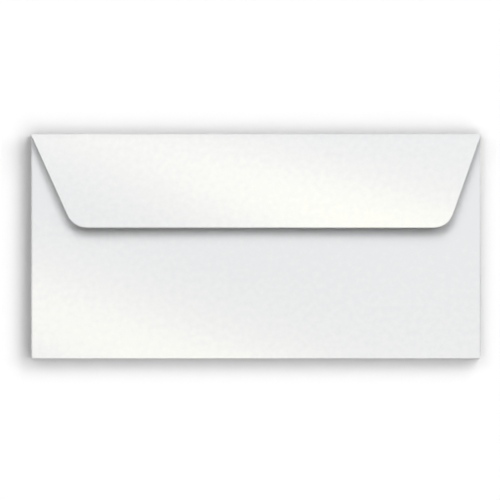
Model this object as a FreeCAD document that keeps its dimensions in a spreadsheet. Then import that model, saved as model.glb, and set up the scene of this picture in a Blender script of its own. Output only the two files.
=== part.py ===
import FreeCAD, Part
import math
import os

import Sketcher

# DL pocket envelope, folded from one sheet of pearl paper and lying on its address side.
# X runs along the 220 mm width, Y up the 110 mm height to the closing fold, Z up from the table.
# The address panel lies flat on Z = 0. Two side flaps fold in over it, the back panel folds up
# from the bottom edge and is glued to them, and the closing flap folds down over the throat,
# unsealed, so that it springs a little open.

document = FreeCAD.newDocument("envelope")

# Driving dimensions, in millimetres and degrees
sizes = {
    "panel_width": 220,          # along the long folds
    "panel_height": 110,         # from the bottom fold to the closing fold
    "paper_thickness": 0.16,
    "crease_gap": 0.6,           # air that a crease leaves between two layers
    "corner_notch": 1.2,         # the side folds stop this far short of the panel's corners
    "side_flap_width": 18,
    "side_flap_taper": 15,       # degrees that each end of a side flap slopes
    "back_inset": 0.6,           # the back panel's sides stand in from the side folds
    "back_top_gap": 1.0,         # the back panel's shoulders stop this far below the closing fold
    "pillow_rise": 0.25,         # how far the back panel bows up at its top edge
    "throat_depth": 14,          # from the closing fold down to the throat edge
    "throat_shoulder": 12,       # width of each shoulder at the top of the back panel
    "throat_angle": 32,          # degrees from upright of the shoulder's slope
    "throat_radius": 8,
    "flap_depth": 45.75,         # from the closing fold to the free edge, seen from above
    "flap_angle_left": 24.4,     # degrees from upright of the flap's left edge
    "flap_angle_right": 19.5,    # degrees from upright of the flap's right edge
    "flap_radius_left": 10.4,
    "flap_radius_right": 10.0,
    "flap_clearance": 0.05,      # from the top of the bow to the flap's underside at the fold
    "flap_spring_angle": 0.5,    # degrees that the closing fold stays open
    "flap_rest_angle": 0.1,      # degrees of slope left at the flap's free edge
}

sheet = document.addObject("Spreadsheet::Sheet", "sizes")
for row, (name, value) in enumerate(sizes.items(), start=1):
    sheet.set(f"A{row}", name)
    sheet.set(f"B{row}", str(value))
    sheet.setAlias(f"B{row}", name)
document.recompute()

width = float(sheet.get("panel_width"))
height = float(sheet.get("panel_height"))
paper = float(sheet.get("paper_thickness"))
crease = float(sheet.get("crease_gap"))
side_flap = float(sheet.get("side_flap_width"))
pillow = float(sheet.get("pillow_rise"))

# Outer radii of the three kinds of fold, each as an expression and as a number for first guesses
side_radius_expr = "(2 * sizes.paper_thickness + sizes.crease_gap) / 2"
bottom_radius_expr = "(3 * sizes.paper_thickness + sizes.crease_gap) / 2"
top_radius_expr = (
    "(4 * sizes.paper_thickness + sizes.crease_gap + sizes.pillow_rise + sizes.flap_clearance) / 2"
)
side_radius = (2 * paper + crease) / 2
bottom_radius = (3 * paper + crease) / 2
top_radius = (4 * paper + crease + pillow + float(sheet.get("flap_clearance"))) / 2

# The stack's levels above the table
back_under_expr = "(2 * sizes.paper_thickness + sizes.crease_gap)"
back_top_expr = "(3 * sizes.paper_thickness + sizes.crease_gap)"
back_under = 2 * paper + crease
back_top = 3 * paper + crease

# how a sketch counts a line's or arc's points
start_point, end_point, centre_point = range(1, 4)


def vector(point):
    return FreeCAD.Vector(point[0], point[1], 0)


def new_body(name):
    return document.addObject("PartDesign::Body", name)


def new_sketch(body, name, plane_role, offset_expr=None):
    """A sketch on one of the body's own origin planes, moved along the plane's normal."""
    plane = next(feature for feature in body.Origin.OriginFeatures if feature.Role == plane_role)
    sketch = body.newObject("Sketcher::SketchObject", name)
    sketch.AttachmentSupport = [(plane, "")]
    sketch.MapMode = "FlatFace"
    if offset_expr:
        sketch.setExpression("AttachmentOffset.Base.z", offset_expr)
    return sketch


def add_line(sketch, first, second):
    return sketch.addGeometry(Part.LineSegment(vector(first), vector(second)), False)


def add_arc(sketch, centre, radius, from_degrees, to_degrees):
    circle = Part.Circle(vector(centre), FreeCAD.Vector(0, 0, 1), radius)
    arc = Part.ArcOfCircle(circle, math.radians(from_degrees), math.radians(to_degrees))
    return sketch.addGeometry(arc, False)


def join(sketch, geometry_a, point_a, geometry_b, point_b):
    sketch.addConstraint(Sketcher.Constraint("Coincident", geometry_a, point_a, geometry_b, point_b))


def flow(sketch, geometry_a, point_a, geometry_b, point_b):
    """Two ends meet and run on in one line."""
    sketch.addConstraint(Sketcher.Constraint("Tangent", geometry_a, point_a, geometry_b, point_b))


def bind(sketch, constraint, expression):
    index = sketch.addConstraint(constraint)
    sketch.setExpression(f"Constraints[{index}]", expression)


def place(sketch, geometry, point, x_expr, y_expr):
    """Ties a point's two coordinates to the sheet; None leaves that coordinate free."""
    now = sketch.getPoint(geometry, point)
    for kind, value, expression in (("DistanceX", now.x, x_expr), ("DistanceY", now.y, y_expr)):
        if expression is not None:
            bind(sketch, Sketcher.Constraint(kind, -1, 1, geometry, point, value), expression)


def set_radius(sketch, geometry, radius, expression):
    bind(sketch, Sketcher.Constraint("Radius", geometry, radius), expression)


def polygon(sketch, corners):
    """A closed outline of straight lines; each corner is (x, y, x expression, y expression)."""
    count = len(corners)
    lines = [add_line(sketch, corners[i][:2], corners[(i + 1) % count][:2]) for i in range(count)]
    for i in range(count):
        join(sketch, lines[i], end_point, lines[(i + 1) % count], start_point)
    for line, corner in zip(lines, corners):
        place(sketch, line, start_point, corner[2], corner[3])


def new_pad(body, name, sketch, length_expr, both_ways=False):
    pad = body.newObject("PartDesign::Pad", name)
    pad.Profile = sketch
    pad.SideType = "Symmetric" if both_ways else "One side"
    pad.setExpression("Length", length_expr)
    return pad


def new_through_pocket(body, name, sketch):
    """Cuts the sketch's outline out of the whole body, both ways from the sketch's plane."""
    pocket = body.newObject("PartDesign::Pocket", name)
    pocket.Profile = sketch
    pocket.SideType = "Symmetric"
    pocket.Type = "Length"
    pocket.setExpression("Length", "sizes.panel_height")
    return pocket


def make_front_panel():
    """The address side: the flat rectangle between the fold lines."""
    body = new_body("front_panel")
    sketch = new_sketch(body, "front_outline", "XY_Plane")
    side_expr = f"(sizes.panel_width / 2 - {side_radius_expr})"
    bottom_expr = f"-(sizes.panel_height / 2 - {bottom_radius_expr})"
    top_expr = f"(sizes.panel_height / 2 - {top_radius_expr})"
    side = width / 2 - side_radius
    bottom = -(height / 2 - bottom_radius)
    top = height / 2 - top_radius
    polygon(sketch, [
        (-side, bottom, f"-{side_expr}", bottom_expr),
        (side, bottom, side_expr, bottom_expr),
        (side, top, side_expr, top_expr),
        (-side, top, f"-{side_expr}", top_expr),
    ])
    new_pad(body, "front_sheet", sketch, "sizes.paper_thickness")
    return body


def half_fold(sketch, centre, radius, centre_exprs, radius_expr, leg_end, leg_end_expr):
    """A section through a half-round fold that opens towards +x, with its folded leg on top."""
    outer = add_arc(sketch, centre, radius, 90, 270)
    inner = add_arc(sketch, centre, radius - paper, 90, 270)
    foot = add_line(sketch, (centre[0], 0), (centre[0], paper))
    leg_under = add_line(sketch, (centre[0], 2 * radius - paper), (leg_end, 2 * radius - paper))
    leg_tip = add_line(sketch, (leg_end, 2 * radius - paper), (leg_end, 2 * radius))
    leg_over = add_line(sketch, (leg_end, 2 * radius), (centre[0], 2 * radius))
    join(sketch, outer, end_point, foot, start_point)
    join(sketch, foot, end_point, inner, end_point)
    join(sketch, inner, start_point, leg_under, start_point)
    join(sketch, leg_under, end_point, leg_tip, start_point)
    join(sketch, leg_tip, end_point, leg_over, start_point)
    join(sketch, leg_over, end_point, outer, start_point)
    join(sketch, outer, centre_point, inner, centre_point)
    place(sketch, outer, centre_point, *centre_exprs)
    set_radius(sketch, outer, radius, radius_expr)
    set_radius(sketch, inner, radius - paper, f"{radius_expr} - sizes.paper_thickness")
    sketch.addConstraint(Sketcher.Constraint("Vertical", foot))
    place(sketch, foot, start_point, centre_exprs[0], None)
    for line in (leg_under, leg_over):
        sketch.addConstraint(Sketcher.Constraint("Horizontal", line))
    sketch.addConstraint(Sketcher.Constraint("Vertical", leg_tip))
    place(sketch, leg_under, start_point, centre_exprs[0], None)
    place(sketch, leg_over, end_point, centre_exprs[0], None)
    place(sketch, leg_tip, start_point, leg_end_expr, None)


def make_side_flap():
    """The left side flap with its fold; both ends of the flap slope away from the corners."""
    body = new_body("side_flap_left")
    centre_exprs = (f"-(sizes.panel_width / 2 - {side_radius_expr})", side_radius_expr)
    centre = (-(width / 2 - side_radius), side_radius)
    section = new_sketch(body, "side_fold_section", "XZ_Plane")
    half_fold(
        section, centre, side_radius, centre_exprs, side_radius_expr,
        -width / 2 + side_flap, "-sizes.panel_width / 2 + sizes.side_flap_width",
    )
    new_pad(
        body, "side_sheet", section, "sizes.panel_height - 2 * sizes.corner_notch", both_ways=True
    )
    document.recompute()

    slope = math.tan(math.radians(float(sheet.get("side_flap_taper"))))
    notch = float(sheet.get("corner_notch"))
    reach = side_flap - side_radius
    reach_expr = f"(sizes.side_flap_width - {side_radius_expr})"
    tip = centre[0] + 2 * reach
    tip_expr = f"({centre_exprs[0]} + 2 * {reach_expr})"
    far_expr = f"(2 * {reach_expr} * tan(sizes.side_flap_taper * 1 deg))"
    end_expr = "(sizes.panel_height / 2 - sizes.corner_notch)"
    for name, sign in (("taper_top", 1), ("taper_bottom", -1)):
        outline = new_sketch(body, f"{name}_outline", "XY_Plane")
        end = sign * (height / 2 - notch)
        mark = "" if sign > 0 else "-"
        polygon(outline, [
            (centre[0], end, centre_exprs[0], f"{mark}{end_expr}"),
            (tip, end - sign * 2 * reach * slope, tip_expr, f"{mark}({end_expr} - {far_expr})"),
            (tip, end + sign * notch, tip_expr, f"{mark}({end_expr} + sizes.corner_notch)"),
            (centre[0], end + sign * notch, centre_exprs[0],
             f"{mark}({end_expr} + sizes.corner_notch)"),
        ])
        new_through_pocket(body, name, outline)
        document.recompute()
    return body


def back_section(body, name, offset_expr, rise, rise_expr):
    """The back panel's section: flat over the side flaps and, where it has a rise, bowed between."""
    sketch = new_sketch(body, name, "XZ_Plane", offset_expr)
    edge = width / 2 - float(sheet.get("back_inset"))
    edge_expr = "(sizes.panel_width / 2 - sizes.back_inset)"
    bow = width / 2 - side_flap
    bow_expr = "(sizes.panel_width / 2 - sizes.side_flap_width)"
    stations = [
        (-edge, 0, f"-{edge_expr}", "0"),
        (-bow, 0, f"-{bow_expr}", "0"),
        (-bow / 2, rise / 2, f"-{bow_expr} / 2", f"{rise_expr} / 2"),
        (bow / 2, rise / 2, f"{bow_expr} / 2", f"{rise_expr} / 2"),
        (bow, 0, bow_expr, "0"),
        (edge, 0, edge_expr, "0"),
    ]
    # three equal arcs, each tangent to the next, carry the sheet up and down again
    bow_radius = (bow ** 2 + rise ** 2) / (4 * rise) if rise else 0
    bow_radius_expr = f"(({bow_expr})^2 + {rise_expr}^2) / (4 * {rise_expr})"
    half_turn = math.degrees(math.asin(bow / 2 / bow_radius)) if rise else 0
    centres = {
        1: ((-bow, bow_radius), 270, 270 + half_turn),
        2: ((0, rise - bow_radius), 90 - half_turn, 90 + half_turn),
        3: ((bow, bow_radius), 270 - half_turn, 270),
    }
    chains = []
    for level, level_expr in ((back_under, back_under_expr), (back_top, back_top_expr)):
        chain = []
        for i in range(5):
            first, second = stations[i], stations[i + 1]
            if rise and i in centres:
                centre, from_degrees, to_degrees = centres[i]
                piece = add_arc(
                    sketch, (centre[0], centre[1] + level), bow_radius, from_degrees, to_degrees
                )
                ends = (end_point, start_point) if i == 2 else (start_point, end_point)
                set_radius(sketch, piece, bow_radius, bow_radius_expr)
            else:
                piece = add_line(
                    sketch, (first[0], first[1] + level), (second[0], second[1] + level)
                )
                ends = (start_point, end_point)
            chain.append((piece, ends))
            if i:
                join(sketch, chain[i - 1][0], chain[i - 1][1][1], piece, ends[0])
            place(sketch, piece, ends[0], first[2], f"{level_expr} + {first[3]}")
        place(sketch, chain[4][0], chain[4][1][1], stations[5][2], f"{level_expr} + {stations[5][3]}")
        chains.append(chain)
    under, over = chains
    for i, side in ((0, -edge), (4, edge)):
        end = 0 if i == 0 else 1
        tip = add_line(sketch, (side, back_under), (side, back_top))
        join(sketch, under[i][0], under[i][1][end], tip, start_point)
        join(sketch, tip, end_point, over[i][0], over[i][1][end])
    return sketch


def make_back_panel():
    """The bottom fold and the back panel, glued over the side flaps and cut away at the throat."""
    body = new_body("back_panel")
    centre_exprs = (f"-(sizes.panel_height / 2 - {bottom_radius_expr})", bottom_radius_expr)
    centre = (-(height / 2 - bottom_radius), bottom_radius)
    section = new_sketch(body, "bottom_fold_section", "YZ_Plane")
    leg = 2.0 * bottom_radius
    half_fold(
        section, centre, bottom_radius, centre_exprs, bottom_radius_expr,
        centre[0] + leg, f"{centre_exprs[0]} + 2 * {bottom_radius_expr}",
    )
    new_pad(
        body, "bottom_sheet", section, "sizes.panel_width - 2 * sizes.back_inset", both_ways=True
    )
    document.recompute()

    low_expr = f"(sizes.panel_height / 2 - {bottom_radius_expr} - 2 * {bottom_radius_expr})"
    high_expr = "-(sizes.panel_height / 2 - sizes.back_top_gap)"
    low = back_section(body, "back_low_section", low_expr, 0, "0")
    high = back_section(body, "back_high_section", high_expr, pillow, "sizes.pillow_rise")
    document.recompute()
    loft = body.newObject("PartDesign::AdditiveLoft", "back_sheet")
    loft.Profile = low
    loft.Sections = [high]
    loft.Ruled = True
    document.recompute()

    throat = new_sketch(body, "throat_outline", "XY_Plane")
    angle = float(sheet.get("throat_angle"))
    slope = math.tan(math.radians(angle))
    radius = float(sheet.get("throat_radius"))
    depth = float(sheet.get("throat_depth"))
    top = height / 2
    bottom = height / 2 - depth
    shoulder = width / 2 - float(sheet.get("throat_shoulder"))
    shoulder_expr = "(sizes.panel_width / 2 - sizes.throat_shoulder)"
    corner = shoulder - depth * slope
    across = add_line(throat, (-shoulder, top), (shoulder, top))
    right = add_line(throat, (shoulder, top), (corner + radius / 2, bottom + radius))
    right_bend = add_arc(
        throat, (corner - radius / 2, bottom + radius), radius, 270, 360 - angle
    )
    edge = add_line(throat, (corner - radius / 2, bottom), (-corner + radius / 2, bottom))
    left_bend = add_arc(
        throat, (-corner + radius / 2, bottom + radius), radius, 180 + angle, 270
    )
    left = add_line(throat, (-corner - radius / 2, bottom + radius), (-shoulder, top))
    join(throat, across, end_point, right, start_point)
    flow(throat, right, end_point, right_bend, end_point)
    flow(throat, right_bend, start_point, edge, start_point)
    flow(throat, edge, end_point, left_bend, end_point)
    flow(throat, left_bend, start_point, left, start_point)
    join(throat, left, end_point, across, start_point)
    place(throat, across, start_point, f"-{shoulder_expr}", "sizes.panel_height / 2")
    place(throat, across, end_point, shoulder_expr, "sizes.panel_height / 2")
    throat.addConstraint(Sketcher.Constraint("Horizontal", edge))
    place(throat, edge, start_point, None, "sizes.panel_height / 2 - sizes.throat_depth")
    set_radius(throat, right_bend, radius, "sizes.throat_radius")
    set_radius(throat, left_bend, radius, "sizes.throat_radius")
    bind(
        throat, Sketcher.Constraint("Angle", right, math.radians(-90 - angle)),
        "-90 - sizes.throat_angle",
    )
    bind(
        throat, Sketcher.Constraint("Angle", left, math.radians(90 + angle)),
        "90 + sizes.throat_angle",
    )
    new_through_pocket(body, "throat", throat)
    document.recompute()
    return body


def make_flap_ribbon():
    """The closing fold and flap in section, run along the full width before it is trimmed."""
    body = new_body("flap_ribbon")
    sketch = new_sketch(body, "flap_section", "YZ_Plane")
    spring = float(sheet.get("flap_spring_angle"))
    rest = float(sheet.get("flap_rest_angle"))
    spring_sine = math.sin(math.radians(spring))
    curl = float(sheet.get("flap_depth")) / (spring_sine - math.sin(math.radians(rest)))
    curl_expr = (
        "(sizes.flap_depth / (sin(sizes.flap_spring_angle * 1 deg)"
        " - sin(sizes.flap_rest_angle * 1 deg)))"
    )
    centre = (height / 2 - top_radius, top_radius)
    centre_y_expr = f"(sizes.panel_height / 2 - {top_radius_expr})"
    joint = 90 - spring
    away = (math.cos(math.radians(joint)), math.sin(math.radians(joint)))
    curl_centre = (
        centre[0] + (top_radius - curl) * away[0],
        centre[1] + (top_radius - curl) * away[1],
    )
    tip = 90 - rest
    tip_way = (math.cos(math.radians(tip)), math.sin(math.radians(tip)))
    fold_outer = add_arc(sketch, centre, top_radius, -90, joint)
    curl_outer = add_arc(sketch, curl_centre, curl, joint, tip)
    curl_inner = add_arc(sketch, curl_centre, curl - paper, joint, tip)
    fold_inner = add_arc(sketch, centre, top_radius - paper, -90, joint)
    free_edge = add_line(
        sketch,
        (curl_centre[0] + curl * tip_way[0], curl_centre[1] + curl * tip_way[1]),
        (curl_centre[0] + (curl - paper) * tip_way[0], curl_centre[1] + (curl - paper) * tip_way[1]),
    )
    foot = add_line(sketch, (centre[0], paper), (centre[0], 0))
    flow(sketch, fold_outer, end_point, curl_outer, start_point)
    join(sketch, curl_outer, end_point, free_edge, start_point)
    join(sketch, free_edge, end_point, curl_inner, end_point)
    flow(sketch, curl_inner, start_point, fold_inner, end_point)
    join(sketch, fold_inner, start_point, foot, start_point)
    join(sketch, foot, end_point, fold_outer, start_point)
    join(sketch, fold_inner, centre_point, fold_outer, centre_point)
    join(sketch, curl_inner, centre_point, curl_outer, centre_point)
    place(sketch, fold_outer, centre_point, centre_y_expr, top_radius_expr)
    set_radius(sketch, fold_outer, top_radius, top_radius_expr)
    set_radius(sketch, fold_inner, top_radius - paper, f"{top_radius_expr} - sizes.paper_thickness")
    set_radius(sketch, curl_outer, curl, curl_expr)
    sketch.addConstraint(Sketcher.Constraint("Vertical", foot))
    place(sketch, foot, end_point, centre_y_expr, None)
    place(
        sketch, fold_outer, end_point,
        f"{centre_y_expr} + {top_radius_expr} * sin(sizes.flap_spring_angle * 1 deg)", None,
    )
    place(
        sketch, curl_outer, end_point,
        f"{centre_y_expr} + ({top_radius_expr} - {curl_expr}) * sin(sizes.flap_spring_angle * 1 deg)"
        f" + {curl_expr} * sin(sizes.flap_rest_angle * 1 deg)",
        None,
    )
    sketch.addConstraint(Sketcher.Constraint("PointOnObject", curl_outer, centre_point, free_edge))
    new_pad(body, "flap_sheet", sketch, "sizes.panel_width", both_ways=True)
    document.recompute()
    return body


def make_flap_outline():
    """The closing flap's shape seen from above, as a tall block that trims the ribbon."""
    body = new_body("flap_outline_block")
    sketch = new_sketch(body, "flap_outline", "XY_Plane")
    depth = float(sheet.get("flap_depth"))
    left_angle = float(sheet.get("flap_angle_left"))
    right_angle = float(sheet.get("flap_angle_right"))
    left_radius = float(sheet.get("flap_radius_left"))
    right_radius = float(sheet.get("flap_radius_right"))
    side = width / 2
    fold = height / 2
    bottom = fold - depth
    left_in = side - depth * math.tan(math.radians(left_angle))
    right_in = side - depth * math.tan(math.radians(right_angle))
    above = fold + paper
    above_expr = "sizes.panel_height / 2 + sizes.paper_thickness"
    top_line = add_line(sketch, (side, above), (-side, above))
    left_stem = add_line(sketch, (-side, above), (-side, fold))
    left_slant = add_line(sketch, (-side, fold), (-left_in - left_radius / 4, bottom + left_radius))
    left_bend = add_arc(
        sketch, (-left_in + left_radius / 2, bottom + left_radius), left_radius,
        180 + left_angle, 270,
    )
    free_edge = add_line(
        sketch, (-left_in + left_radius / 2, bottom), (right_in - right_radius / 2, bottom)
    )
    right_bend = add_arc(
        sketch, (right_in - right_radius / 2, bottom + right_radius), right_radius,
        270, 360 - right_angle,
    )
    right_slant = add_line(sketch, (right_in + right_radius / 4, bottom + right_radius), (side, fold))
    right_stem = add_line(sketch, (side, fold), (side, above))
    join(sketch, top_line, end_point, left_stem, start_point)
    join(sketch, left_stem, end_point, left_slant, start_point)
    flow(sketch, left_slant, end_point, left_bend, start_point)
    flow(sketch, left_bend, end_point, free_edge, start_point)
    flow(sketch, free_edge, end_point, right_bend, start_point)
    flow(sketch, right_bend, end_point, right_slant, start_point)
    join(sketch, right_slant, end_point, right_stem, start_point)
    join(sketch, right_stem, end_point, top_line, start_point)
    place(sketch, left_stem, start_point, "-sizes.panel_width / 2", above_expr)
    place(sketch, left_stem, end_point, "-sizes.panel_width / 2", "sizes.panel_height / 2")
    place(sketch, right_stem, start_point, "sizes.panel_width / 2", "sizes.panel_height / 2")
    place(sketch, right_stem, end_point, "sizes.panel_width / 2", above_expr)
    sketch.addConstraint(Sketcher.Constraint("Horizontal", free_edge))
    place(sketch, free_edge, start_point, None, "sizes.panel_height / 2 - sizes.flap_depth")
    set_radius(sketch, left_bend, left_radius, "sizes.flap_radius_left")
    set_radius(sketch, right_bend, right_radius, "sizes.flap_radius_right")
    bind(
        sketch, Sketcher.Constraint("Angle", left_slant, math.radians(left_angle - 90)),
        "sizes.flap_angle_left - 90",
    )
    bind(
        sketch, Sketcher.Constraint("Angle", right_slant, math.radians(90 - right_angle)),
        "90 - sizes.flap_angle_right",
    )
    new_pad(body, "flap_outline_tall", sketch, "2 * sizes.flap_depth", both_ways=True)
    document.recompute()
    return body


front_panel = make_front_panel()
side_flap_left = make_side_flap()
back_panel = make_back_panel()
flap_ribbon = make_flap_ribbon()
flap_block = make_flap_outline()

side_flap_right = document.addObject("Part::Mirroring", "side_flap_right")
side_flap_right.Source = side_flap_left
side_flap_right.Normal = (1, 0, 0)

closing_flap = document.addObject("Part::Common", "closing_flap")
closing_flap.Base = flap_ribbon
closing_flap.Tool = flap_block

envelope = document.addObject("Part::MultiFuse", "envelope_sheet")
envelope.Shapes = [front_panel, side_flap_left, side_flap_right, back_panel, closing_flap]
envelope.Refine = True
envelope.Placement = FreeCAD.Placement()
document.recompute()

for item in document.Objects:
    for flag in ("Invalid", "Error"):
        if flag in item.State:
            raise RuntimeError(f"{item.Name} is {flag}")
if envelope.Shape.isNull() or not envelope.Shape.isValid():
    raise RuntimeError("envelope_sheet has no valid shape")
if len(envelope.Shape.Solids) != 1:
    raise RuntimeError(f"envelope_sheet has {len(envelope.Shape.Solids)} solids instead of one")

os.makedirs("parts", exist_ok=True)
envelope.Shape.exportStep(f"parts/{envelope.Label}.step")

box = envelope.Shape.BoundBox
print(f"{envelope.Label}: {envelope.Shape.Volume:.1f} cubic mm in {len(envelope.Shape.Faces)} faces")
print(f"x {box.XMin:.3f} to {box.XMax:.3f}, y {box.YMin:.3f} to {box.YMax:.3f}, "
      f"z {box.ZMin:.3f} to {box.ZMax:.3f}")
for panel in (front_panel, side_flap_left, back_panel, closing_flap):
    print(f"{panel.Label}: {panel.Shape.Volume:.1f} cubic mm, "
          f"{panel.Shape.Volume / paper:.0f} square mm of sheet")
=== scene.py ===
import math

import bmesh
import bpy
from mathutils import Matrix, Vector, noise


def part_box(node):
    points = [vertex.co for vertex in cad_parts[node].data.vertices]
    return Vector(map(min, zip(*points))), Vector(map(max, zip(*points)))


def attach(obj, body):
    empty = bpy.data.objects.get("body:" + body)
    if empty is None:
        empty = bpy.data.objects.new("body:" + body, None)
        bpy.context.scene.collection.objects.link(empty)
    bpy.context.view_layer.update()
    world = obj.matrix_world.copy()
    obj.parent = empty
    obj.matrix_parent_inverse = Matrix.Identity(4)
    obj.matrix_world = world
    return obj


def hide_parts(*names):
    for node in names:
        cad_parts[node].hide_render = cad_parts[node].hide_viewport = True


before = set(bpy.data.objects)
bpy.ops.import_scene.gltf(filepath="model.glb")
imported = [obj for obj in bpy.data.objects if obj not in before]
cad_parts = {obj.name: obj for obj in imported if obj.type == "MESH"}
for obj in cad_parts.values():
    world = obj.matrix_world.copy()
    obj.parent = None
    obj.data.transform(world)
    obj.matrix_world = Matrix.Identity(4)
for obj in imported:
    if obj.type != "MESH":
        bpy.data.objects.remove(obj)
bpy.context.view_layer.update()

lowCorner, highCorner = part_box("envelope_sheet")
mm = 0.001

# The folded sheet, in millimetres and degrees. It lies on its address side, flap up.
sheet = {
    "width": (highCorner.x - lowCorner.x) / mm,
    "height": (highCorner.y - lowCorner.y) / mm,
    "paper": 0.16,
    "creaseGap": 0.6,            # air that a crease leaves between two layers
    "seamFilm": 0.012,           # keeps the glued faces a hair apart
    "cornerNotch": 1.2,          # the side folds stop this far short of the corners
    "sideFlapWidth": 18.0,
    "sideFlapTaper": 15.0,
    "backInset": 0.6,            # the back panel's sides lie this far in
    "backTopGap": 1.0,           # and its top edge this far under the fold
    "pillowRise": 0.25,          # how far the back panel bows up at its top edge
    "throatDepth": 14.0,
    "throatShoulder": 12.0,      # beside the throat, at the level of the top fold
    "throatAngle": 32.0,         # from upright, as are the flap's
    "throatRadius": 8.0,
    "flapDepth": 45.75,
    "flapAngleLeft": 24.4,
    "flapAngleRight": 19.5,
    "flapRadiusLeft": 10.4,
    "flapRadiusRight": 10.0,
    "flapClearance": 0.05,       # air over the bowed back panel
    "flapSpring": 0.5,           # how steeply the flap rises from its fold
    "flapRest": 0.1,             # and at its free edge
    "step": 2.0,                 # spacing of the mesh
    "weld": 0.001,               # points closer than this are one
    "foldFacets": 12,
    "cornerFacets": 12,
    "waveHeight": 0.012,         # how far the loose panels wander from flat
    "waveLength": 42.0,
    "foldEase": 45.0,            # the flap is stiff at its fold and loose this far from it
    "flapFollow": 0.6,           # how far the loose flap follows the back panel's bow
    "flapSeat": 0.4,             # this share of the way out, the flap keeps its own height
    "sharpAngle": 40.0,          # edges that turn more than this shade as sharp
    "foldShade": 0.02,           # how much of a fold's roundness shows in its shading
    "foldSideways": 0.01,        # a normal may dip this far and still count as facing up
}

halfWidth = sheet["width"] / 2
halfHeight = sheet["height"] / 2
paper = sheet["paper"]

# how high the middle of each layer lies
frontLevel = paper / 2
sideLevel = 1.5 * paper + sheet["creaseGap"] - sheet["seamFilm"]
backLevel = 2.5 * paper + sheet["creaseGap"]
flapLevel = 3.5 * paper + sheet["creaseGap"] + sheet["pillowRise"] + sheet["flapClearance"]

# each fold is a half round from the front panel up to its layer
sideRound = (sideLevel - frontLevel) / 2
bottomRound = (backLevel - frontLevel) / 2
topRound = (flapLevel - frontLevel) / 2
sideLine = halfWidth - sideRound - frontLevel
bottomLine = halfHeight - bottomRound - frontLevel
topLine = halfHeight - topRound - frontLevel

sideReach = halfHeight - sheet["cornerNotch"]         # half the length of a side fold
backSide = halfWidth - sheet["backInset"]
backTop = halfHeight - sheet["backTopGap"]
backFlat = 2 * (bottomRound + frontLevel) - bottomLine  # the back panel starts to bow here
bowSide = halfWidth - sheet["sideFlapWidth"]
throatEdge = halfHeight - sheet["throatDepth"]
freeEdge = halfHeight - sheet["flapDepth"]


def spread(first, last):                              # evenly spaced places, a step apart or less
    count = max(1, math.ceil(abs(last - first) / sheet["step"]))
    return [first + (last - first) * i / count for i in range(count + 1)]


def wander(x, y, layer):                              # slow waves of loose paper
    spot = Vector((x, y, layer * sheet["waveLength"])) / sheet["waveLength"]
    return sheet["waveHeight"] * noise.noise(spot)


def backHeight(x, y):                                 # glued flat at the sides, bowed between
    across = abs(x) / bowSide
    if across < 0.5:
        bow = 1 - 2 * across ** 2
    else:
        bow = 2 * max(0, 1 - across) ** 2
    upward = max(0, (y - backFlat) / (backTop - backFlat))
    return backLevel + bow * upward * (sheet["pillowRise"] + wander(x, y, 1))


def flapCurl():                                       # centre and radius of the flap's long curl
    spring = math.radians(sheet["flapSpring"])
    rest = math.radians(sheet["flapRest"])
    outer = sheet["flapDepth"] / (math.sin(spring) - math.sin(rest))
    inset = outer - topRound - frontLevel
    centreY = topLine - inset * math.sin(spring)
    centreZ = frontLevel + topRound - inset * math.cos(spring)
    return centreY, centreZ, outer - frontLevel


def flapSide(y, angle, radius):                       # half width of the flap at this height
    slope = math.radians(angle)
    centreY = freeEdge + radius
    tangentY = centreY - radius * math.sin(slope)
    if y >= tangentY:
        return halfWidth - (halfHeight - y) * math.tan(slope)
    tangentX = halfWidth - (halfHeight - tangentY) * math.tan(slope)
    outward = math.sqrt(max(0, radius ** 2 - (centreY - y) ** 2))
    return tangentX - radius * math.cos(slope) + outward


def throatSide(turn):                                 # a point on the throat's corner round
    centreY = throatEdge + sheet["throatRadius"]
    slope = math.radians(sheet["throatAngle"])
    tangentY = centreY - sheet["throatRadius"] * math.sin(slope)
    tangentX = halfWidth - sheet["throatShoulder"] - (halfHeight - tangentY) * math.tan(slope)
    centreX = tangentX - sheet["throatRadius"] * math.cos(slope)
    return (
        centreX + sheet["throatRadius"] * math.sin(turn),
        centreY - sheet["throatRadius"] * math.cos(turn),
    )


# A grid is rows of (place, blank) pairs: where a point lies, and where it lay on the flat sheet.
def addGrid(bm, blankLayer, rows):
    made = []
    for row in rows:
        line = []
        for place, blank in row:
            vert = bm.verts.new(Vector(place) * mm)
            vert[blankLayer] = Vector((*blank, 0))
            line.append(vert)
        made.append(line)
    for lower, upper in zip(made, made[1:]):
        for i in range(len(lower) - 1):
            corners = [lower[i], lower[i + 1], upper[i + 1], upper[i]]
            along = corners[1][blankLayer] - corners[0][blankLayer]
            up = corners[3][blankLayer] - corners[0][blankLayer]
            if along.cross(up).z > 0:                 # every face shows the sheet's outer side
                corners.reverse()
            bm.faces.new(corners)


def buildFront(bm, blankLayer, columns, rows):
    addGrid(bm, blankLayer, [[((x, y, frontLevel), (x, y)) for x in columns] for y in rows])


def buildSideFlap(bm, blankLayer, side, rows):
    reach = sheet["sideFlapWidth"] - (halfWidth - sideLine)
    taper = math.tan(math.radians(sheet["sideFlapTaper"]))
    grid = []
    for i in range(sheet["foldFacets"] + 1):
        turn = math.pi * i / sheet["foldFacets"]
        x = sideLine + sideRound * math.sin(turn)
        z = frontLevel + sideRound * (1 - math.cos(turn))
        u = sideLine + sideRound * turn
        grid.append([((side * x, y, z), (side * u, y)) for y in rows])
    for inward in spread(0, reach)[1:]:
        u = sideLine + sideRound * math.pi + inward
        shorter = 1 - inward * taper / sideReach
        grid.append([
            ((side * (sideLine - inward), y * shorter, sideLevel), (side * u, y * shorter))
            for y in rows
        ])
    addGrid(bm, blankLayer, grid)


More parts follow.
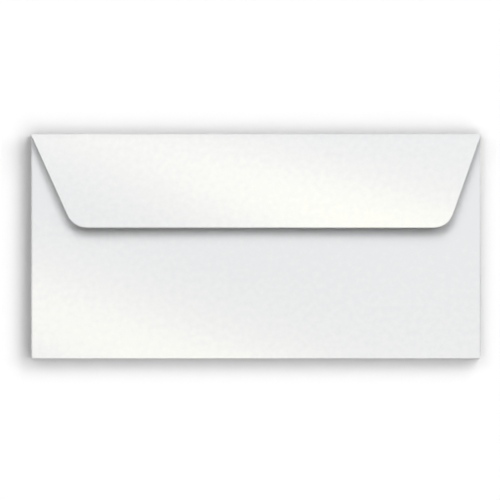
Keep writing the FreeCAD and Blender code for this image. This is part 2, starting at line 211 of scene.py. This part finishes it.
def buildBack(bm, blankLayer, columns):
    fold = []
    for i in range(sheet["foldFacets"] + 1):
        turn = math.pi * i / sheet["foldFacets"]
        y = -bottomLine - bottomRound * math.sin(turn)
        z = frontLevel + bottomRound * (1 - math.cos(turn))
        fold.append([((x, y, z), (x, -bottomLine - bottomRound * turn)) for x in columns])
    addGrid(bm, blankLayer, fold)

    def point(x, y):
        return (x, y, backHeight(x, y)), (x, -2 * bottomLine - bottomRound * math.pi - y)

    low = [-bottomLine] + spread(backFlat, throatEdge)
    addGrid(bm, blankLayer, [[point(x, y) for x in columns] for y in low])

    # the two shoulders beside the throat narrow towards the top
    start = throatSide(0)[0]
    cornerTurn = math.radians(90 - sheet["throatAngle"])
    turns = [cornerTurn * i / sheet["cornerFacets"] for i in range(sheet["cornerFacets"] + 1)]
    bounds = [throatSide(turn) for turn in turns]
    cornerX, cornerY = bounds[-1]
    for y in spread(cornerY, backTop)[1:]:
        bounds.append((cornerX + (y - cornerY) * math.tan(math.radians(sheet["throatAngle"])), y))
    for side in (-1, 1):
        outer = [abs(x) for x in columns if side * x >= start - sheet["weld"]]
        shoulder = []
        for inner, y in bounds:
            width = backSide - inner
            line = [backSide - (backSide - x) * width / (backSide - start) for x in outer]
            shoulder.append([point(side * x, y) for x in line])
        addGrid(bm, blankLayer, shoulder)


def buildFlap(bm, blankLayer, columns):
    centreY, centreZ, curl = flapCurl()
    spring = math.radians(sheet["flapSpring"])
    foldTurn = math.pi - spring

    def row(y, z, v):
        left = flapSide(y, sheet["flapAngleLeft"], sheet["flapRadiusLeft"])
        right = flapSide(y, sheet["flapAngleRight"], sheet["flapRadiusRight"])
        loose = min(1, max(0, (topLine - y) / sheet["foldEase"])) ** 2
        seat = backHeight(sheet["flapSeat"] * bowSide, y)
        line = []
        for column in columns:
            share = (column + sideLine) / (2 * sideLine)
            x = -left + share * (left + right)
            sag = sheet["flapFollow"] * (seat - backHeight(x, y))
            line.append(((x, y, z + loose * (wander(x, y, 2) - sag)), (x, v)))
        return line

    grid = [[((x, topLine, frontLevel), (x, topLine)) for x in columns]]
    for i in range(1, sheet["foldFacets"] + 1):
        turn = foldTurn * i / sheet["foldFacets"]
        y = topLine + topRound * math.sin(turn)
        z = frontLevel + topRound * (1 - math.cos(turn))
        grid.append(row(y, z, topLine + topRound * turn))
    foldEnd = topLine + topRound * math.sin(foldTurn)
    radius = sheet["flapRadiusLeft"]
    first = math.radians(sheet["flapAngleLeft"])
    levels = spread(foldEnd, freeEdge + radius - radius * math.sin(first))[1:]
    for i in range(1, sheet["cornerFacets"] + 1):     # closer rows round the flap's corners
        turn = first + (math.pi / 2 - first) * i / sheet["cornerFacets"]
        levels.append(freeEdge + radius - radius * math.sin(turn))
    for y in levels:
        lean = math.acos((y - centreY) / curl)        # angle round the curl, from +Y
        v = topLine + topRound * foldTurn + curl * (lean - (math.pi / 2 - spring))
        grid.append(row(y, centreZ + curl * math.sin(lean), v))
    addGrid(bm, blankLayer, grid)


def buildSheet():
    throatCorner = throatSide(0)[0]
    stops = [-sideLine, -backSide, -throatCorner, throatCorner, backSide, sideLine]
    columns = [stops[0]]
    for first, last in zip(stops, stops[1:]):
        columns += spread(first, last)[1:]
    sideRows = spread(-sideReach, sideReach)
    backColumns = [x for x in columns if abs(x) <= backSide + sheet["weld"]]

    bm = bmesh.new()
    blankLayer = bm.verts.layers.float_vector.new("blank")
    buildFront(bm, blankLayer, columns, [-bottomLine] + sideRows + [topLine])
    for side in (-1, 1):
        buildSideFlap(bm, blankLayer, side, sideRows)
    buildBack(bm, blankLayer, backColumns)
    buildFlap(bm, blankLayer, columns)
    bmesh.ops.remove_doubles(bm, verts=bm.verts, dist=sheet["weld"] * mm)

    mesh = bpy.data.meshes.new("pearlEnvelope")
    bm.to_mesh(mesh)
    bm.free()
    piece = bpy.data.objects.new("pearlEnvelope", mesh)
    bpy.context.collection.objects.link(piece)
    return piece


def thicken(piece):
    thickness = piece.modifiers.new("thickness", "SOLIDIFY")
    thickness.thickness = paper * mm
    thickness.offset = 0
    thickness.use_even_offset = True
    thickness.use_rim = True
    thickness.material_offset = 1                     # inner side
    thickness.material_offset_rim = 2                 # cut edge
    applyModifiers(piece)
    piece.data.shade_smooth()
    piece.data.set_sharp_from_angle(angle=math.radians(sheet["sharpAngle"]))
    weighted = piece.modifiers.new("flatPanels", "WEIGHTED_NORMAL")
    weighted.keep_sharp = True
    applyModifiers(piece)
    calmFolds(piece.data)


def calmFolds(mesh):                                  # the folds shade like the panels beside them
    blank = mesh.attributes["blank"].data
    normals = [Vector(corner.vector) for corner in mesh.corner_normals]
    for face in mesh.polygons:
        if face.material_index:                       # the inside and cut edge stay as they are
            continue
        for i in face.loop_indices:
            u, v = blank[mesh.loops[i].vertex_index].vector[:2]
            inFold = (
                topLine < v < topLine + math.pi * topRound
                or -bottomLine - math.pi * bottomRound < v < -bottomLine
                or sideLine < abs(u) < sideLine + math.pi * sideRound
            )
            if inFold:
                lean = normals[i] * sheet["foldShade"]
                up = 1 if normals[i].z > -sheet["foldSideways"] else -1
                normals[i] = Vector((lean.x, lean.y, up)).normalized()
    mesh.normals_split_custom_set(normals)


def applyModifiers(piece):
    graph = bpy.context.evaluated_depsgraph_get()
    finished = bpy.data.meshes.new_from_object(piece.evaluated_get(graph), depsgraph=graph)
    piece.modifiers.clear()
    rough = piece.data
    piece.data = finished
    bpy.data.meshes.remove(rough)


# Sockets are named with underscores for spaces. A value is a constant or another node's socket.
def connect(tree, value, socket):
    if isinstance(value, bpy.types.NodeSocket):
        tree.links.new(value, socket)
    else:
        socket.default_value = value


def addNode(tree, kind, settings=None, **values):
    node = tree.nodes.new(kind)
    for name, value in (settings or {}).items():
        setattr(node, name, value)
    for name, value in values.items():
        connect(tree, value, node.inputs[name.replace("_", " ")])
    return node


def calculate(tree, operation, *values, kind="ShaderNodeMath"):
    node = tree.nodes.new(kind)
    node.operation = operation
    for socket, value in zip(node.inputs, values):
        connect(tree, value, socket)
    return node.outputs[0]


def blendValues(tree, first, second, share):
    step = calculate(tree, "SUBTRACT", second, first)
    return calculate(tree, "MULTIPLY_ADD", step, share, first)


def newGroup(name, inputs, outputs):
    group = bpy.data.node_groups.new(name, "ShaderNodeTree")
    for title, kind in inputs:
        group.interface.new_socket(title, in_out="INPUT", socket_type=kind)
    for title, kind in outputs:
        group.interface.new_socket(title, in_out="OUTPUT", socket_type=kind)
    given = group.nodes.new("NodeGroupInput").outputs
    result = group.nodes.new("NodeGroupOutput").inputs
    return group, given, result


number = "NodeSocketFloat"
vector = "NodeSocketVector"
colour = "NodeSocketColor"


# Painted light: Base, Across and Along hold the paper's own tone together with painted shading
# from how light falls over the panel, and the band is a painted sheen, a soft diagonal highlight.
def makePaintedShadeAndSheen():                                  # the paper's own tone with painted shading and a painted sheen band
    names = (
        "Base", "Across", "Along", "Band Centre", "Band Slope", "Upper Width", "Lower Width",
        "Band Strength", "Strength Across",
    )
    group, given, result = newGroup(
        "paintedShadeAndSheen", [("Vector", vector)] + [(name, number) for name in names], [("Tone", number)]
    )
    axes = addNode(group, "ShaderNodeSeparateXYZ", Vector=given["Vector"]).outputs
    # the painted sheen band: a soft highlight on either side of a sloping line
    line = calculate(group, "MULTIPLY_ADD", axes["X"], given["Band Slope"], given["Band Centre"])
    away = calculate(group, "SUBTRACT", line, axes["Y"])
    above = calculate(group, "GREATER_THAN", away, 0)
    width = blendValues(group, given["Lower Width"], given["Upper Width"], above)
    share = calculate(group, "DIVIDE", away, width)
    fall = calculate(group, "MULTIPLY", calculate(group, "MULTIPLY", share, share), -1)
    band = calculate(group, "EXPONENT", fall)
    strength = calculate(
        group, "MULTIPLY_ADD", axes["X"], given["Strength Across"], given["Band Strength"]
    )
    # the panel's own tone with painted shading across and along it
    plain = calculate(group, "MULTIPLY_ADD", axes["X"], given["Across"], given["Base"])
    plain = calculate(group, "MULTIPLY_ADD", axes["Y"], given["Along"], plain)
    connect(group, calculate(group, "MULTIPLY_ADD", band, strength, plain), result["Tone"])
    return group


# The coated side, the inside and the cut edge share this grain, each in its own sizes.
grainPattern = {
    "middle": 0.5,               # noise runs either side of this
    "mottleDetail": 1.0,
    "mottleRoughness": 0.5,
    "fibreDetail": 3.0,
    "fibreCurl": 1.2,
    "fibreStretch": (1.0, 0.3, 1.0),
    "fibreLean": (0.0, 0.0, 0.6),
}


def makeFibreGrain(pattern):                          # cloudy mottle, short fibres, a faint tint
    inputs = [(name, number) for name in ("Mottle Size", "Fibre Size", "Tint Amount")]
    group, given, result = newGroup(
        "fibreGrain", [("Vector", vector)] + inputs,
        [("Mottle", number), ("Height", number), ("Tint", colour)],
    )
    mottle = addNode(
        group, "ShaderNodeTexNoise", Vector=given["Vector"], Detail=pattern["mottleDetail"],
        Roughness=pattern["mottleRoughness"],
        Scale=calculate(group, "DIVIDE", 1.0, given["Mottle Size"]),
    )
    stretched = addNode(
        group, "ShaderNodeMapping", Vector=given["Vector"], Scale=pattern["fibreStretch"],
        Rotation=pattern["fibreLean"],
    )
    fibres = addNode(
        group, "ShaderNodeTexNoise", Vector=stretched.outputs["Vector"],
        Detail=pattern["fibreDetail"], Distortion=pattern["fibreCurl"],
        Scale=calculate(group, "DIVIDE", 1.0, given["Fibre Size"]),
    )
    centred = calculate(group, "SUBTRACT", mottle.outputs["Fac"], pattern["middle"])
    connect(group, centred, result["Mottle"])
    connect(group, calculate(group, "ADD", fibres.outputs["Fac"], centred), result["Height"])
    shifted = calculate(
        group, "SUBTRACT", mottle.outputs["Color"], (pattern["middle"],) * 3,
        kind="ShaderNodeVectorMath",
    )
    tint = calculate(
        group, "MULTIPLY_ADD", shifted, given["Tint Amount"], (1.0, 1.0, 1.0),
        kind="ShaderNodeVectorMath",
    )
    connect(group, tint, result["Tint"])
    return group


def linear(levels):                                   # screen levels, 0 to 255, by the sRGB curve
    shares = [level / 255 for level in levels]
    return [s / 12.92 if s <= 0.04045 else ((s + 0.055) / 1.055) ** 2.4 for s in shares] + [1.0]


def makeRamp(tree, tone, stops):
    ramp = addNode(tree, "ShaderNodeValToRGB", Fac=tone)
    elements = ramp.color_ramp.elements
    while len(elements) < len(stops):
        elements.new(0.5)
    for element, (place, levels) in zip(elements, stops):
        element.position = place
        element.color = linear(levels)
    return ramp.outputs["Color"]


def newMaterial(name):
    material = bpy.data.materials.new(name)
    material.use_nodes = True
    material.node_tree.nodes.clear()
    return material, material.node_tree


def finishPaper(tree, look, grain, paint, roughness):
    painted = calculate(
        tree, "MULTIPLY", paint, grain.outputs["Tint"], kind="ShaderNodeVectorMath"
    )
    bump = addNode(
        tree, "ShaderNodeBump", Strength=look["bump"], Distance=look["bumpDepth"] * mm,
        Height=grain.outputs["Height"],
    )
    surface = addNode(
        tree, "ShaderNodeBsdfPrincipled", Base_Color=painted, Normal=bump.outputs["Normal"],
        Roughness=calculate(
            tree, "MULTIPLY_ADD", grain.outputs["Mottle"], look["roughnessGrain"], roughness
        ),
        Specular_IOR_Level=look["specular"], Coat_Weight=look["coat"],
        Coat_Roughness=look["coatRoughness"],
    )
    addNode(tree, "ShaderNodeOutputMaterial", Surface=surface.outputs["BSDF"])


def addGrain(tree, look, place):
    return addNode(
        tree, "ShaderNodeGroup", {"node_tree": fibreGrain}, Vector=place,
        Mottle_Size=look["mottleSize"], Fibre_Size=look["fibreSize"], Tint_Amount=look["tint"],
    )


paintedShadeAndSheen = makePaintedShadeAndSheen()
fibreGrain = makeFibreGrain(grainPattern)

# The coated outside, its tone painted with shading and a sheen band. Places on it are millimetres
# of the flat sheet, folded out around the front.
pearlPaper = {
    "shades": [                                       # from the cool ground to the warm painted sheen band
        (0.0, (231.8, 233.2, 234.1)),
        (0.28, (238.0, 238.2, 237.8)),
        (0.56, (244.0, 243.7, 241.8)),
        (0.83, (249.9, 249.6, 244.5)),
        (1.0, (253.6, 253.5, 246.4)),
    ],
    # each panel's painted shading (Base, Across, Along) and its painted sheen band
    "front": {
        "Base": 0.15, "Across": 0.0, "Along": 0.001, "Band Centre": 6.0, "Band Slope": 0.37,
        "Upper Width": 29.0, "Lower Width": 25.0, "Band Strength": 0.62, "Strength Across": 0.001,
    },
    "back": {
        "Base": 0.34, "Across": -0.0002, "Along": 0.003, "Band Centre": -35.3,
        "Band Slope": 0.397, "Upper Width": 30.8, "Lower Width": 24.0, "Band Strength": 0.724,
        "Strength Across": 0.0013,
    },
    "flap": {
        "Base": -0.30, "Across": 0.0011, "Along": 0.0045, "Band Centre": 82.9,
        "Band Slope": 0.347, "Upper Width": 28.2, "Lower Width": 25.6, "Band Strength": 0.719,
        "Strength Across": 0.0018,
    },
    "mottle": 0.46,              # how far the grain moves the tone
    "mottleSize": 2.8,
    "fibreSize": 0.5,
    "tint": 0.004,
    "roughness": 0.46,
    "roughnessGrain": 0.12,
    "specular": 0.5,
    "coat": 0.12,
    "coatRoughness": 0.3,
    "bump": 0.15,
    "bumpDepth": 0.002,
}


def makePearlPaper(look):
    material, tree = newMaterial("pearlPaper")
    blank = addNode(tree, "ShaderNodeAttribute", {"attribute_name": "blank"}).outputs["Vector"]
    axes = addNode(tree, "ShaderNodeSeparateXYZ", Vector=blank).outputs
    # each panel's tone holds painted shading and a painted sheen band
    tones = {
        panel: addNode(
            tree, "ShaderNodeGroup", {"node_tree": paintedShadeAndSheen}, Vector=blank, **look[panel]
        ).outputs["Tone"]
        for panel in ("front", "back", "flap")
    }
    # one panel's tone runs into the next at a fold
    overFold = addNode(
        tree, "ShaderNodeMapRange", {"interpolation_type": "SMOOTHSTEP"}, Value=axes["Y"],
        From_Min=topLine, From_Max=topLine + math.pi * topRound,
    ).outputs["Result"]
    underFold = addNode(
        tree, "ShaderNodeMapRange", {"interpolation_type": "SMOOTHSTEP"}, Value=axes["Y"],
        From_Min=-bottomLine, From_Max=-bottomLine - math.pi * bottomRound,
    ).outputs["Result"]
    tone = blendValues(tree, tones["front"], tones["flap"], overFold)
    tone = blendValues(tree, tone, tones["back"], underFold)
    grain = addGrain(tree, look, blank)
    tone = calculate(tree, "MULTIPLY_ADD", grain.outputs["Mottle"], look["mottle"], tone)
    finishPaper(tree, look, grain, makeRamp(tree, tone, look["shades"]), look["roughness"])
    return material


# The uncoated inside, with a dried strip of gum under the closing flap.
innerPaper = {
    "shades": [(0.0, (228, 229, 229)), (1.0, (240, 240, 238))],
    "gumShades": [(0.0, (226, 226, 219)), (1.0, (236, 236, 228))],
    "gumWidth": 14.0,
    "gumMargin": 3.0,            # bare paper between the gum and the flap's free edge
    "gumSoftness": 0.6,
    "gumRoughness": 0.28,
    "mottleSize": 1.4,
    "fibreSize": 0.5,
    "tint": 0.015,
    "roughness": 0.72,
    "roughnessGrain": 0.2,
    "specular": 0.4,
    "coat": 0.0,
    "coatRoughness": 0.3,
    "bump": 0.4,
    "bumpDepth": 0.004,
}


def makeInnerPaper(look):
    material, tree = newMaterial("innerPaper")
    blank = addNode(tree, "ShaderNodeAttribute", {"attribute_name": "blank"}).outputs["Vector"]
    axes = addNode(tree, "ShaderNodeSeparateXYZ", Vector=blank).outputs
    grain = addGrain(tree, look, blank)
    foldEnd = topLine + math.pi * topRound            # along the flat sheet
    gumEnd = foldEnd + topLine - freeEdge - look["gumMargin"]
    middle = gumEnd - look["gumWidth"] / 2
    away = calculate(tree, "ABSOLUTE", calculate(tree, "SUBTRACT", axes["Y"], middle))
    gum = addNode(
        tree, "ShaderNodeMapRange", {"interpolation_type": "SMOOTHSTEP"}, Value=away,
        From_Min=look["gumWidth"] / 2, From_Max=look["gumWidth"] / 2 - look["gumSoftness"],
    ).outputs["Result"]
    tone = calculate(tree, "ADD", grain.outputs["Mottle"], grainPattern["middle"])
    bare = makeRamp(tree, tone, look["shades"])
    gummed = makeRamp(tree, tone, look["gumShades"])
    paint = addNode(tree, "ShaderNodeMix", {"data_type": "RGBA"}, Factor=gum)
    bareSocket, gumSocket = [socket for socket in paint.inputs if socket.type == "RGBA"]
    connect(tree, bare, bareSocket)
    connect(tree, gummed, gumSocket)
    painted = next(socket for socket in paint.outputs if socket.type == "RGBA")
    roughness = blendValues(tree, look["roughness"], look["gumRoughness"], gum)
    finishPaper(tree, look, grain, painted, roughness)
    return material


# The raw cut edge, which shows the fibres.
cutEdge = {
    "shades": [(0.0, (234, 234, 232)), (1.0, (246, 246, 244))],
    "mottleSize": 0.5,
    "fibreSize": 0.12,
    "tint": 0.01,
    "roughness": 0.85,
    "roughnessGrain": 0.2,
    "specular": 0.3,
    "coat": 0.0,
    "coatRoughness": 0.3,
    "bump": 0.4,
    "bumpDepth": 0.01,
}


def makeCutEdge(look):
    material, tree = newMaterial("cutEdge")
    blank = addNode(tree, "ShaderNodeAttribute", {"attribute_name": "blank"}).outputs["Vector"]
    grain = addGrain(tree, look, blank)
    tone = calculate(tree, "ADD", grain.outputs["Mottle"], grainPattern["middle"])
    finishPaper(tree, look, grain, makeRamp(tree, tone, look["shades"]), look["roughness"])
    return material


envelope = buildSheet()
print("folded the sheet:", len(envelope.data.polygons), "faces")
for material in (makePearlPaper(pearlPaper), makeInnerPaper(innerPaper), makeCutEdge(cutEdge)):
    envelope.data.materials.append(material)
thicken(envelope)
print("gave it its thickness:", len(envelope.data.polygons), "faces")

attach(envelope, "root")
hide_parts("envelope_sheet")
envelope.visible_diffuse = False                      # its bright folds don't light up the table

# The table, the room and the lamps. One set of lamps lights the table alone and the other the
# envelope alone, so that the two have shadows of their own depth. Every lamp is a fan of suns, and
# its share is a part of the light that falls on a level surface.
studio = {
    "tableSize": 6.0,            # metres
    "tableDrop": 0.02,           # millimetres below the envelope
    "tableWhite": 1.0,
    "tableGlow": 0.08,           # seen by the camera alone
    "ambient": 0.02,
    "gloss": 1.0,                # the room as it shows in gloss and behind the table
    "tableFan": [-28.0, -14.0, 0.0, 14.0, 28.0],   # how far a fan's suns turn from its azimuth
    "paperFan": [-12.0, 0.0, 12.0],
    "tableLamps": {              # name: azimuth from +X, elevation, spread, share
        "tableFarRightLow": (38.0, 5.0, 4.5, 0.215),
        "tableFarRight": (38.0, 8.5, 6.0, 0.186),
        "tableFarLeftLow": (135.0, 5.0, 4.5, 0.018),
        "tableFarLeft": (135.0, 8.5, 6.0, 0.108),
        "tableFarLeftHigh": (135.0, 16.0, 12.0, 0.024),
        "tableNearLeftHigh": (225.0, 16.0, 12.0, 0.118),
        "tableNearRightLow": (322.0, 5.0, 4.5, 0.04),
        "tableNearRight": (322.0, 8.5, 6.0, 0.114),
        "tableNearRightHigh": (322.0, 16.0, 12.0, 0.098),
    },
    "paperLamps": {
        "paperRight": (30.0, 9.5, 8.0, 0.184),
        "paperFarRight": (50.0, 6.5, 6.0, 0.086),
        "paperFarLow": (90.0, 6.5, 6.0, 0.282),
        "paperFar": (90.0, 9.5, 8.0, 0.076),
        "paperFarLeftLow": (130.0, 6.5, 6.0, 0.067),
        "paperFarLeft": (130.0, 9.5, 8.0, 0.11),
        "paperNear": (270.0, 12.0, 10.0, 0.179),
    },
}


def buildTable(look):
    half = look["tableSize"] / 2
    drop = -look["tableDrop"] * mm
    mesh = bpy.data.meshes.new("table")
    corners = [(-half, -half, drop), (half, -half, drop), (half, half, drop), (-half, half, drop)]
    mesh.from_pydata(corners, [], [(0, 1, 2, 3)])
    table = bpy.data.objects.new("table", mesh)
    bpy.context.collection.objects.link(table)
    material, tree = newMaterial("tableWhite")
    white = (look["tableWhite"],) * 3 + (1.0,)
    plain = addNode(tree, "ShaderNodeBsdfDiffuse", Color=white)
    path = addNode(tree, "ShaderNodeLightPath").outputs
    glow = addNode(
        tree, "ShaderNodeEmission",
        Strength=calculate(tree, "MULTIPLY", path["Is Camera Ray"], look["tableGlow"]),
    )
    both = tree.nodes.new("ShaderNodeAddShader")
    connect(tree, plain.outputs["BSDF"], both.inputs[0])
    connect(tree, glow.outputs["Emission"], both.inputs[1])
    addNode(tree, "ShaderNodeOutputMaterial", Surface=both.outputs["Shader"])
    mesh.materials.append(material)
    return table


def buildRoom(look):
    world = bpy.data.worlds.new("paleRoom")
    world.use_nodes = True
    tree = world.node_tree
    tree.nodes.clear()
    path = addNode(tree, "ShaderNodeLightPath").outputs
    seen = calculate(tree, "MAXIMUM", path["Is Camera Ray"], path["Is Glossy Ray"])
    seen = calculate(tree, "MAXIMUM", seen, path["Is Transmission Ray"])
    room = addNode(
        tree, "ShaderNodeBackground", Color=(1.0, 1.0, 1.0, 1.0),
        Strength=blendValues(tree, look["ambient"], look["gloss"], seen),
    )
    addNode(tree, "ShaderNodeOutputWorld", Surface=room.outputs["Background"])
    bpy.context.scene.world = world


def addSun(name, azimuth, elevation, spreadAngle, share, receivers):
    data = bpy.data.lights.new(name, "SUN")
    data.energy = share * math.pi / math.sin(math.radians(elevation))
    data.angle = math.radians(spreadAngle)
    lamp = bpy.data.objects.new(name, data)
    lamp.rotation_euler = (0, math.radians(90 - elevation), math.radians(azimuth))
    lamp.light_linking.receiver_collection = receivers
    lamp.visible_glossy = False                       # the gloss shows the pale room instead
    bpy.context.collection.objects.link(lamp)


def gather(name, piece):                              # the one object that a set of lamps lights
    group = bpy.data.collections.new(name)
    group.objects.link(piece)
    return group


def buildLamps(lamps, fan, receivers):
    for name, (azimuth, elevation, spreadAngle, share) in lamps.items():
        part = share / len(fan)
        for i, turn in enumerate(fan):
            addSun(f"{name}{i}", azimuth + turn, elevation, spreadAngle, part, receivers)


# The picture looks straight down on the flap.
cameraView = {
    "lens": 135.0,
    "sensor": 36.0,
    "frameWidth": 244.44,        # millimetres seen across the picture at the paper
    "centre": (-2.93, -1.71),
}


def buildCamera(look):
    data = bpy.data.cameras.new("camera")
    data.lens = look["lens"]
    data.sensor_width = look["sensor"]
    camera = bpy.data.objects.new("camera", data)
    distance = look["frameWidth"] * look["lens"] / look["sensor"]
    camera.location = Vector((*look["centre"], distance + backLevel)) * mm
    bpy.context.collection.objects.link(camera)
    bpy.context.scene.camera = camera


table = buildTable(studio)
buildRoom(studio)
buildLamps(studio["tableLamps"], studio["tableFan"], gather("tableOnly", table))
buildLamps(studio["paperLamps"], studio["paperFan"], gather("paperOnly", envelope))
buildCamera(cameraView)
bpy.context.scene.view_settings.view_transform = "Standard"
print("set the table, the lamps and the camera")
